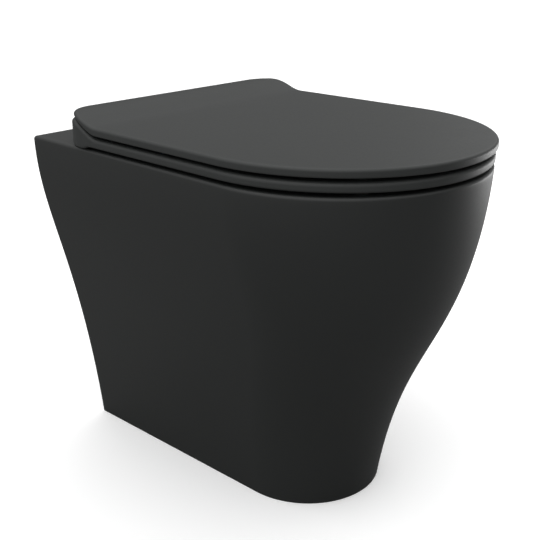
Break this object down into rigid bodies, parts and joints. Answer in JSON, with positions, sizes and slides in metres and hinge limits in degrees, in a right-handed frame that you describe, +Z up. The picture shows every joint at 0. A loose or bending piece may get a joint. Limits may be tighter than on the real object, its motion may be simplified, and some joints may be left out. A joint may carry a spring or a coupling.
{
  "type": "back-to-wall toilet pan with soft-close seat",
  "caption": "Floor-standing back-to-wall toilet pan in matt black ceramic with a slim wrap-over soft-close seat and lid on quick-release hinges",
  "frame": {"origin": "on the floor, in the middle of the object's width and depth", "axes": "+Z up; the nose of the bowl points to -Y and the wall is on the +Y side; X runs across the seat"},
  "size_m": [0.348, 0.5018, 0.44],
  "materials": {
    "black_ceramic": "matt glaze",
    "black_duroplast": "matt",
    "dark_plastic": "moulded",
    "white_plastic": "moulded",
    "rubber": "matt",
    "clear_rubber": "translucent grey",
    "stainless": "brushed"
  },
  "bodies": {
    "pan": {"pan": "black_ceramic", "flush_inlet_seal": "rubber", "outlet_seal": "rubber", "outlet_connector": "white_plastic", "floor_bracket_left": "stainless", "floor_bracket_right": "stainless", "bracket_pad_left": "rubber", "bracket_pad_right": "rubber", "rubber_bung_left": "rubber", "rubber_bung_right": "rubber", "bung_nut_left": "dark_plastic", "bung_nut_right": "dark_plastic", "base_gasket_left": "clear_rubber", "base_gasket_right": "clear_rubber", "base_plate_left": "stainless", "base_plate_right": "stainless", "hinge_post_left": "stainless", "hinge_post_right": "stainless"},
    "hinges": {"hinge_block_left": "dark_plastic", "hinge_block_right": "dark_plastic", "hinge_pin_left": "stainless", "hinge_pin_right": "stainless", "latch_clip_left": "stainless", "latch_clip_right": "stainless", "seat_damper_rotor": "stainless", "lid_damper_rotor": "stainless"},
    "button_left": {"release_button_left": "stainless"},
    "button_right": {"release_button_right": "stainless"},
    "seat": {"seat_ring": "black_duroplast", "seat_damper_housing": "dark_plastic", "seat_bush_left": "white_plastic", "seat_bush_right": "white_plastic", "seat_buffer_front_left": "clear_rubber", "seat_buffer_front_right": "clear_rubber", "seat_buffer_rear_left": "clear_rubber", "seat_buffer_rear_right": "clear_rubber"},
    "lid": {"lid": "black_duroplast", "lid_damper_housing": "dark_plastic", "lid_bush_left": "white_plastic", "lid_bush_right": "white_plastic", "lid_buffer_front_left": "clear_rubber", "lid_buffer_front_right": "clear_rubber", "lid_buffer_rear_left": "clear_rubber", "lid_buffer_rear_right": "clear_rubber"}
  },
  "joints": [
    {"name": "seat_lift_off", "type": "slide", "parent": "pan", "child": "hinges", "axis": [0, 0, 1], "range_m": [0, 0.06], "deforming": ["latch_clip_left", "latch_clip_right"]},
    {"name": "seat_hinge", "type": "hinge", "parent": "hinges", "child": "seat", "pos_m": [0, 0.1774, 0.4115], "axis": [-1, 0, 0], "range_deg": [0, 92]},
    {"name": "lid_hinge", "type": "hinge", "parent": "seat", "child": "lid", "pos_m": [0, 0.1774, 0.4115], "axis": [-1, 0, 0], "range_deg": [0, 92]},
    {"name": "release_button_left_press", "type": "slide", "parent": "hinges", "child": "button_left", "axis": [0, 1, 0], "range_m": [0, 0.003], "stiffness_N_per_m": 300, "springref_m": -0.001},
    {"name": "release_button_right_press", "type": "slide", "parent": "hinges", "child": "button_right", "axis": [0, 1, 0], "range_m": [0, 0.003], "stiffness_N_per_m": 300, "springref_m": -0.001}
  ]
}
